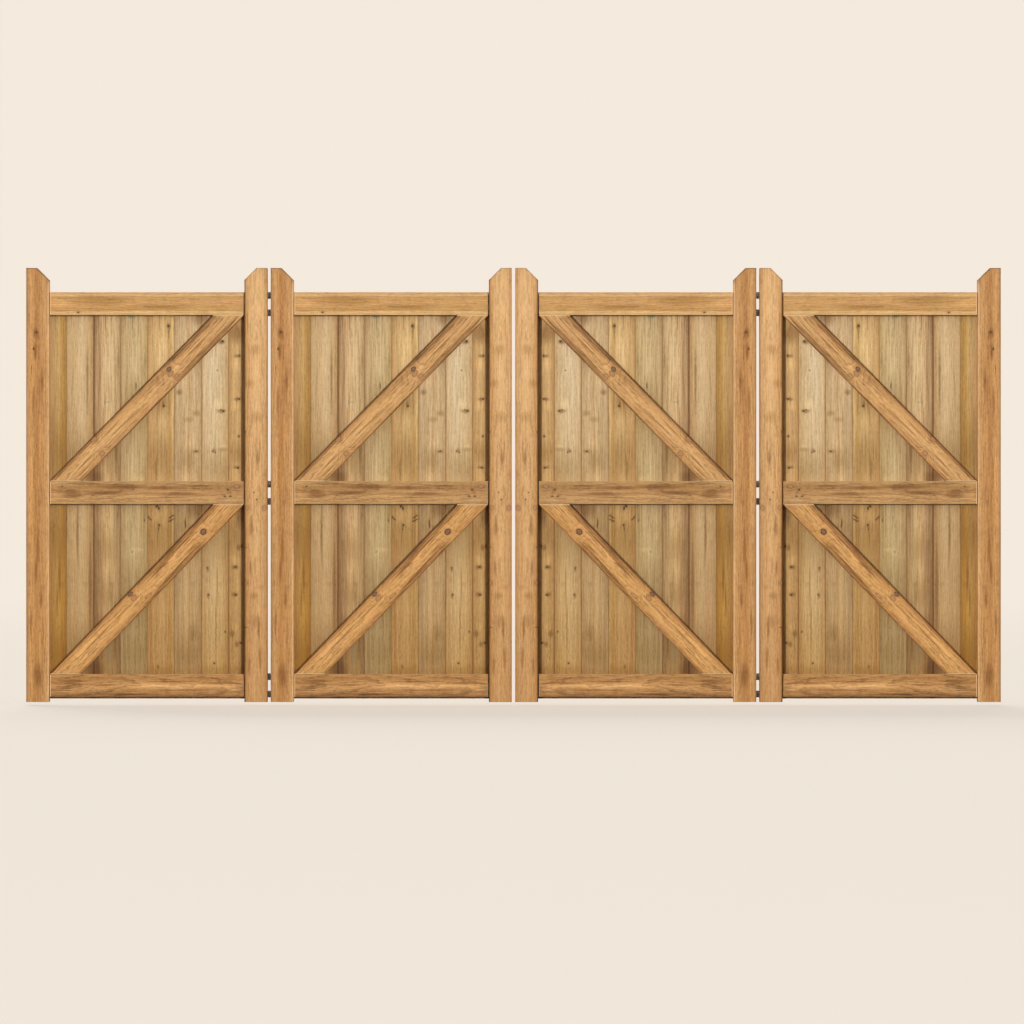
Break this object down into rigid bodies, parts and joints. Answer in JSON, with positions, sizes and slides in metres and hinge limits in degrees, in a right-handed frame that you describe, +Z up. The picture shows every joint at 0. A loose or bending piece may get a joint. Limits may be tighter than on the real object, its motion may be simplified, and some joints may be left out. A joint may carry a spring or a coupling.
{
  "type": "bi-fold driveway gate",
  "caption": "Timber driveway gate of framed, ledged and braced boarded leaves with canted stile tops, hung on wall hooks in two pairs that fold flat.",
  "frame": {"origin": "centre of the wall face of the lower left hook plate", "axes": "+X along the gate to the right as seen from the braced side, +Y from the braced face to the boarded face and on into the wall, +Z up"},
  "size_m": [4.046, 0.122, 1.8],
  "materials": {
    "pine_stile": "matte",
    "pine_rail": "matte",
    "pine_brace": "matte",
    "pine_board": "matte",
    "galvanised": "satin"
  },
  "bodies": {
    "wall_hooks": {"left_hooks": "galvanised", "right_hooks": "galvanised"},
    "left_hanging_leaf": {"leaf_1_outer_stile": "pine_stile", "leaf_1_inner_stile": "pine_stile", "leaf_1_top_rail": "pine_rail", "leaf_1_middle_rail": "pine_rail", "leaf_1_bottom_rail": "pine_rail", "leaf_1_upper_brace": "pine_brace", "leaf_1_lower_brace": "pine_brace", "leaf_1_boards": "pine_board", "left_bands": "galvanised", "left_fold_arms": "galvanised", "left_fold_pins": "galvanised"},
    "left_folding_leaf": {"leaf_2_outer_stile": "pine_stile", "leaf_2_inner_stile": "pine_stile", "leaf_2_top_rail": "pine_rail", "leaf_2_middle_rail": "pine_rail", "leaf_2_bottom_rail": "pine_rail", "leaf_2_upper_brace": "pine_brace", "leaf_2_lower_brace": "pine_brace", "leaf_2_boards": "pine_board", "left_fold_plates": "galvanised"},
    "right_folding_leaf": {"leaf_3_outer_stile": "pine_stile", "leaf_3_inner_stile": "pine_stile", "leaf_3_top_rail": "pine_rail", "leaf_3_middle_rail": "pine_rail", "leaf_3_bottom_rail": "pine_rail", "leaf_3_upper_brace": "pine_brace", "leaf_3_lower_brace": "pine_brace", "leaf_3_boards": "pine_board", "right_fold_plates": "galvanised"},
    "right_hanging_leaf": {"leaf_4_outer_stile": "pine_stile", "leaf_4_inner_stile": "pine_stile", "leaf_4_top_rail": "pine_rail", "leaf_4_middle_rail": "pine_rail", "leaf_4_bottom_rail": "pine_rail", "leaf_4_upper_brace": "pine_brace", "leaf_4_lower_brace": "pine_brace", "leaf_4_boards": "pine_board", "right_bands": "galvanised", "right_fold_arms": "galvanised", "right_fold_pins": "galvanised"}
  },
  "joints": [
    {"name": "left_swing", "type": "hinge", "parent": "wall_hooks", "child": "left_hanging_leaf", "pos_m": [0, -0.037, 0], "axis": [0, 0, -1], "range_deg": [0, 90]},
    {"name": "left_fold", "type": "hinge", "parent": "left_hanging_leaf", "child": "left_folding_leaf", "pos_m": [1.012, -0.036, 0], "axis": [0, 0, 1], "range_deg": [0, 180]},
    {"name": "right_swing", "type": "hinge", "parent": "wall_hooks", "child": "right_hanging_leaf", "pos_m": [3.994, -0.037, 0], "axis": [0, 0, 1], "range_deg": [0, 90]},
    {"name": "right_fold", "type": "hinge", "parent": "right_hanging_leaf", "child": "right_folding_leaf", "pos_m": [2.982, -0.036, 0], "axis": [0, 0, -1], "range_deg": [0, 180]}
  ]
}
